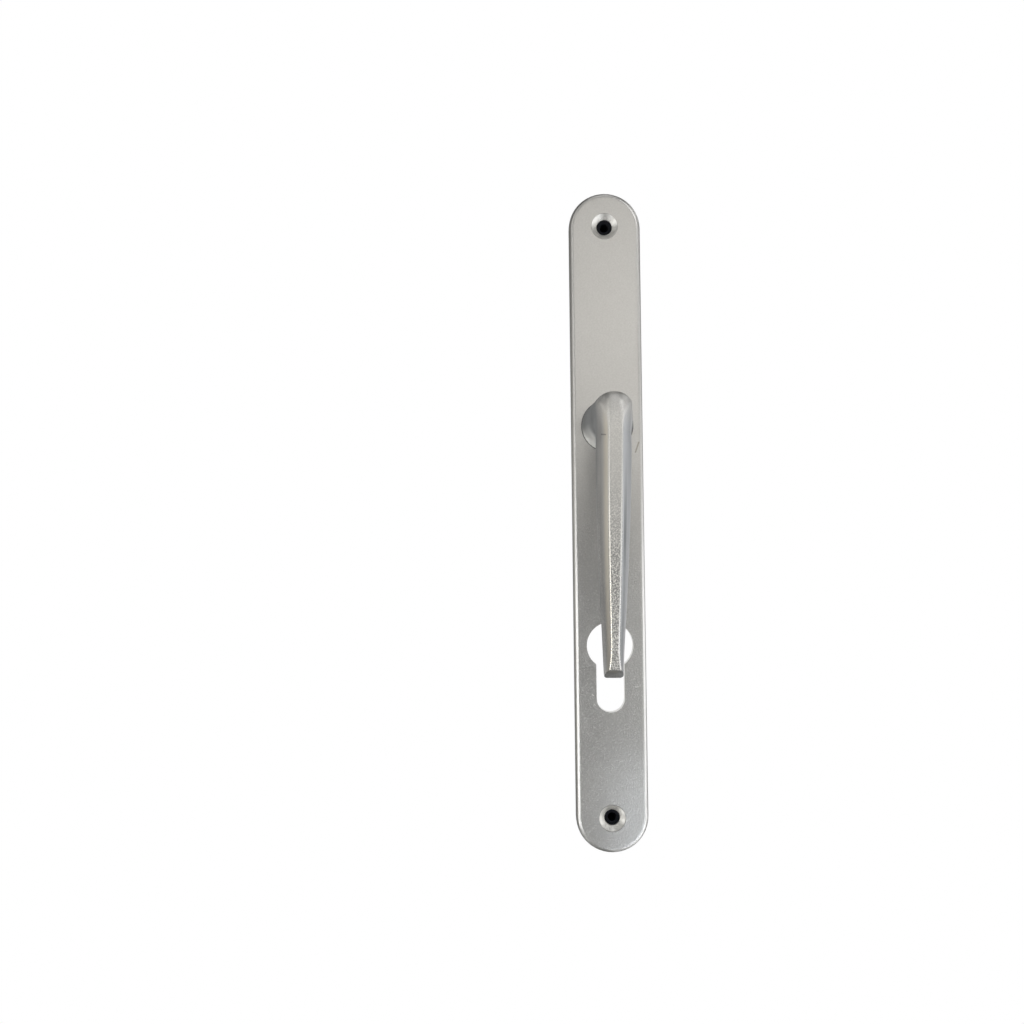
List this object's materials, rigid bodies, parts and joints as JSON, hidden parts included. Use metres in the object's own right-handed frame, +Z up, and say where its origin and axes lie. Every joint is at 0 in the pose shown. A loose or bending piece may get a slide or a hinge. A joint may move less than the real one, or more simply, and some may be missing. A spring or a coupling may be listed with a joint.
{
  "type": "door handle on backplate",
  "caption": "Cast lever handle that hangs from its pivot on a long, round-ended backplate with a cut-out for a profile cylinder.",
  "frame": {"origin": "middle of the backplate's back face, on its upright centre line, half-way up the plate", "axes": "+Z up along the plate, +Y out of the back face into the door, -Y out of the front towards the hand, +X to the right as seen from the front"},
  "size_m": [0.0278, 0.097, 0.2558],
  "materials": {
    "plate_metal": "natural anodised, fine grain",
    "lever_metal": "cast and anodised, slightly sparkling",
    "steel": "zinc plated",
    "spring_steel": "phosphated",
    "bush_plastic": "dark nylon",
    "dowel_plastic": "black nylon"
  },
  "bodies": {
    "plate": {"backplate": "plate_metal", "neck_bush": "bush_plastic", "thrust_washer": "steel", "upper_screw_dowel": "dowel_plastic", "lower_screw_dowel": "dowel_plastic"},
    "lever": {"lever": "lever_metal", "spring_washer": "spring_steel", "retaining_ring": "spring_steel", "spindle": "steel", "grub_screw": "spring_steel"}
  },
  "joints": [
    {"name": "lever_turn", "type": "hinge", "parent": "plate", "child": "lever", "pos_m": [0, -0.005, 0.0363], "axis": [0, 1, 0], "range_deg": [-90, 90]}
  ]
}
